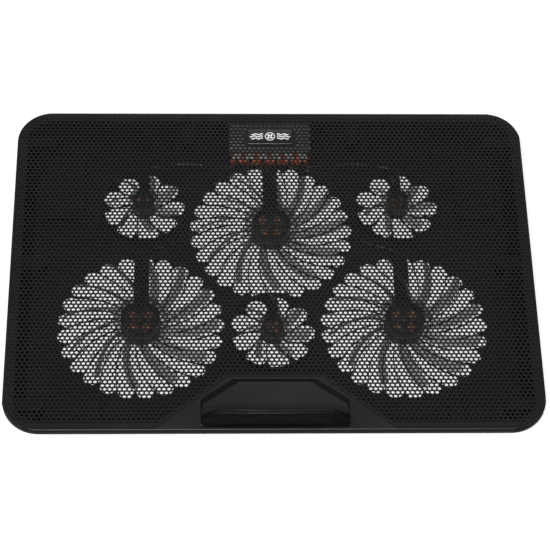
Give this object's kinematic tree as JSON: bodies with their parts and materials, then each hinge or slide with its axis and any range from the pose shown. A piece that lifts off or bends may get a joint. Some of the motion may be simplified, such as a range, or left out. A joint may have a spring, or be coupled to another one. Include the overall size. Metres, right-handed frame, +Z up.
{
  "type": "laptop cooling pad",
  "caption": "Thin wide cooling pad: perforated steel deck over fans in a tapered plastic tray, fold-up laptop stop at the front, folding rear legs and a rear control bay.",
  "frame": {"origin": "on the surface the rubber feet stand on, under the middle of the deck", "axes": "+X to the user's right, +Y away from the user, +Z up"},
  "size_m": [0.38, 0.275, 0.0432],
  "materials": {
    "deck_paint": "satin black paint on perforated sheet",
    "case_plastic": "fine-grained black",
    "stop_plastic": "smooth satin black",
    "leg_plastic": "fine-grained black",
    "blade_plastic": "smoky translucent",
    "magnet_metal": "dark",
    "pin_steel": "ground",
    "core_steel": "laminated",
    "copper": "enamelled copper wire",
    "motor_board": "lacquered board",
    "bearing_brass": "sintered",
    "control_board": "red-orange lacquered board",
    "cover_plastic": "fine-grained black",
    "badge": "satin black with a white airflow pictogram",
    "socket_plastic": "off-white",
    "usb_metal": "tinned steel",
    "wheel_plastic": "ridged black",
    "rubber": "soft black",
    "screw_steel": "blackened",
    "lead_sheath": "black PVC sheath"
  },
  "bodies": {
    "case": {"bearing_sleeves": "bearing_brass", "board_screws": "screw_steel", "bottom_case": "case_plastic", "case_screws": "screw_steel", "control_board": "control_board", "control_cover": "cover_plastic", "fan_leads": "lead_sheath", "fan_sockets": "socket_plastic", "front_center_coils": "copper", "front_center_motor_board": "motor_board", "front_center_stator": "core_steel", "front_left_coils": "copper", "front_left_motor_board": "motor_board", "front_left_stator": "core_steel", "front_right_coils": "copper", "front_right_motor_board": "motor_board", "front_right_stator": "core_steel", "nameplate": "badge", "rear_center_coils": "copper", "rear_center_motor_board": "motor_board", "rear_center_stator": "core_steel", "rear_left_coils": "copper", "rear_left_motor_board": "motor_board", "rear_left_stator": "core_steel", "rear_right_coils": "copper", "rear_right_motor_board": "motor_board", "rear_right_stator": "core_steel", "rubber_feet": "rubber", "speed_control": "wheel_plastic", "stop_hinge_pins": "pin_steel", "top_mesh": "deck_paint", "upper_frame": "case_plastic", "usb_sockets": "usb_metal"},
    "front_left_rotor": {"front_left_impeller": "blade_plastic", "front_left_magnet_ring": "magnet_metal", "front_left_shaft": "pin_steel"},
    "front_right_rotor": {"front_right_impeller": "blade_plastic", "front_right_magnet_ring": "magnet_metal", "front_right_shaft": "pin_steel"},
    "rear_center_rotor": {"rear_center_impeller": "blade_plastic", "rear_center_magnet_ring": "magnet_metal", "rear_center_shaft": "pin_steel"},
    "rear_left_rotor": {"rear_left_impeller": "blade_plastic", "rear_left_magnet_ring": "magnet_metal", "rear_left_shaft": "pin_steel"},
    "rear_right_rotor": {"rear_right_impeller": "blade_plastic", "rear_right_magnet_ring": "magnet_metal", "rear_right_shaft": "pin_steel"},
    "front_center_rotor": {"front_center_impeller": "blade_plastic", "front_center_magnet_ring": "magnet_metal", "front_center_shaft": "pin_steel"},
    "stop": {"laptop_stop": "stop_plastic"},
    "left_leg": {"left_leg": "leg_plastic", "left_leg_pad": "rubber"},
    "right_leg": {"right_leg": "leg_plastic", "right_leg_pad": "rubber"},
    "wheel": {"speed_wheel": "wheel_plastic"}
  },
  "joints": [
    {"name": "front_left_spin", "type": "hinge", "parent": "case", "child": "front_left_rotor", "pos_m": [-0.0955, -0.04, 0.01], "axis": [0, 0, 1], "continuous": true},
    {"name": "front_right_spin", "type": "hinge", "parent": "case", "child": "front_right_rotor", "pos_m": [0.0955, -0.04, 0.01], "axis": [0, 0, 1], "continuous": true},
    {"name": "rear_center_spin", "type": "hinge", "parent": "case", "child": "rear_center_rotor", "pos_m": [0, 0.0425, 0.01], "axis": [0, 0, 1], "continuous": true},
    {"name": "rear_left_spin", "type": "hinge", "parent": "case", "child": "rear_left_rotor", "pos_m": [-0.095, 0.0645, 0.01], "axis": [0, 0, 1], "continuous": true},
    {"name": "rear_right_spin", "type": "hinge", "parent": "case", "child": "rear_right_rotor", "pos_m": [0.095, 0.0645, 0.01], "axis": [0, 0, 1], "continuous": true},
    {"name": "front_center_spin", "type": "hinge", "parent": "case", "child": "front_center_rotor", "pos_m": [0, -0.0455, 0.01], "axis": [0, 0, 1], "continuous": true},
    {"name": "stop_fold", "type": "hinge", "parent": "case", "child": "stop", "pos_m": [0, -0.13205, 0.02395], "axis": [1, 0, 0], "range_deg": [-90, 0]},
    {"name": "left_leg_fold", "type": "hinge", "parent": "case", "child": "left_leg", "pos_m": [-0.154, 0.103, 0.00545], "axis": [1, 0, 0], "range_deg": [0, 100]},
    {"name": "right_leg_fold", "type": "hinge", "parent": "case", "child": "right_leg", "pos_m": [0.154, 0.103, 0.00545], "axis": [1, 0, 0], "range_deg": [0, 100]},
    {"name": "speed_turn", "type": "hinge", "parent": "case", "child": "wheel", "pos_m": [0.0205, 0.1285, 0.0115], "axis": [0, 0, 1], "range_deg": [0, 270]}
  ]
}
